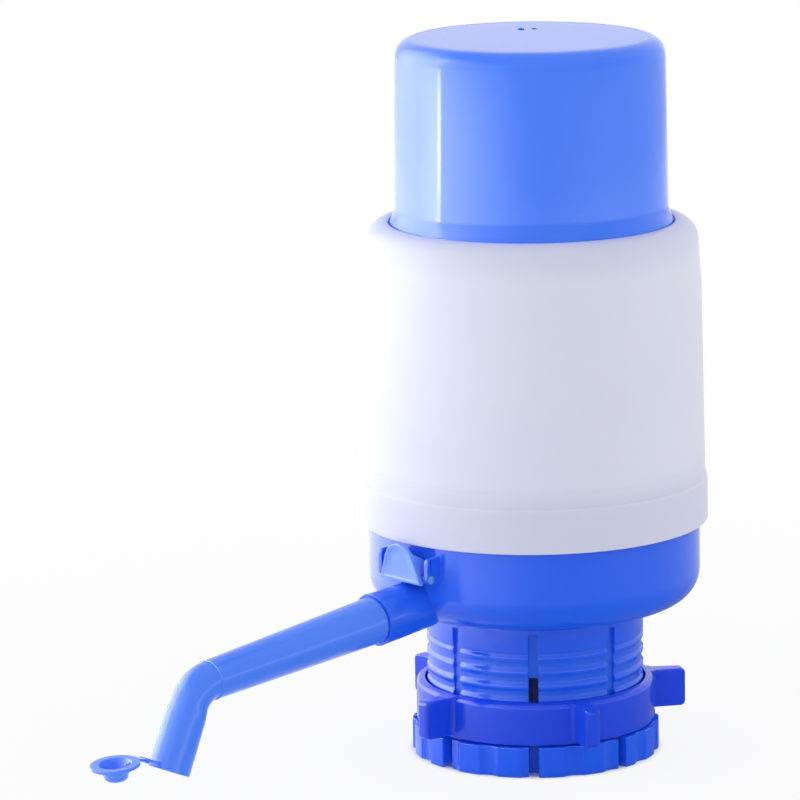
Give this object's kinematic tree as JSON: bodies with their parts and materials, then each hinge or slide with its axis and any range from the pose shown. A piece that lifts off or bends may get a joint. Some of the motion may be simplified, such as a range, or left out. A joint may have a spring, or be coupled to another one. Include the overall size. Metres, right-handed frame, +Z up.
{
  "type": "water jug hand pump",
  "caption": "Hand pump for a large water jug: press cap over a bellows in a milky cover, bowl-shaped base with a drooping spout, split threaded collar and wing nut.",
  "frame": {"origin": "centre of the collar's open end, where the jug's neck enters, on the pump's axis", "axes": "+Z up along the pump's axis to the press cap; -Y to the front, where the spout leaves; +X to the right of someone who looks at the spout"},
  "size_m": [0.095, 0.2039, 0.1968],
  "materials": {
    "blue_cap": "gloss",
    "blue_body": "gloss",
    "blue_spout": "gloss",
    "blue_lever": "gloss",
    "blue_nut": "gloss",
    "milk_cover": "satin",
    "milk_inner": "satin",
    "milk_coupling": "satin",
    "rubber_seal": "matt",
    "steel": "drawn"
  },
  "bodies": {
    "pump_body": {"base": "blue_body", "outer_cover": "milk_cover", "bellows": "milk_inner", "return_spring": "steel", "bellows_ring": "milk_inner", "ring_screws": "steel", "valve_plate": "milk_inner", "delivery_valve": "rubber_seal", "release_pin": "blue_lever", "release_spring": "steel", "collar": "blue_body", "neck_gasket": "rubber_seal", "tube_coupling": "milk_coupling"},
    "cap": {"press_cap": "blue_cap", "bellows_top_plate": "milk_inner", "intake_valve": "rubber_seal"},
    "lever": {"release_lever": "blue_lever", "release_pad": "rubber_seal"},
    "spout": {"spout_tube": "blue_spout", "spout_seal": "rubber_seal"},
    "outlet_cap": {"spout_cap": "blue_spout"},
    "nut": {"wing_nut": "blue_nut"}
  },
  "joints": [
    {"name": "cap_press", "type": "slide", "parent": "pump_body", "child": "cap", "axis": [0, 0, -1], "range_m": [0, 0.045], "stiffness_N_per_m": 200, "springref_m": -0.02, "deforming": ["bellows", "return_spring"]},
    {"name": "lever_tilt", "type": "hinge", "parent": "pump_body", "child": "lever", "pos_m": [0, -0.0476, 0.0566], "axis": [1, 0, 0], "range_deg": [0, 14], "stiffness_Nm_per_rad": 0.02, "springref_deg": -20.05, "deforming": ["release_spring"]},
    {"name": "spout_swivel", "type": "hinge", "parent": "pump_body", "child": "spout", "pos_m": [0, -0.0599, 0.04616], "axis": [0, -0.9949, -0.1011], "continuous": true},
    {"name": "outlet_cap_flip", "type": "hinge", "parent": "spout", "child": "outlet_cap", "pos_m": [0, -0.14039, 0.02329], "axis": [-1, 0, 0], "range_deg": [-150, 29]},
    {"name": "nut_turn", "type": "hinge", "parent": "pump_body", "child": "nut", "pos_m": [0, 0, 0.0086], "axis": [0, 0, 1], "range_deg": [0, 1170]}
  ]
}
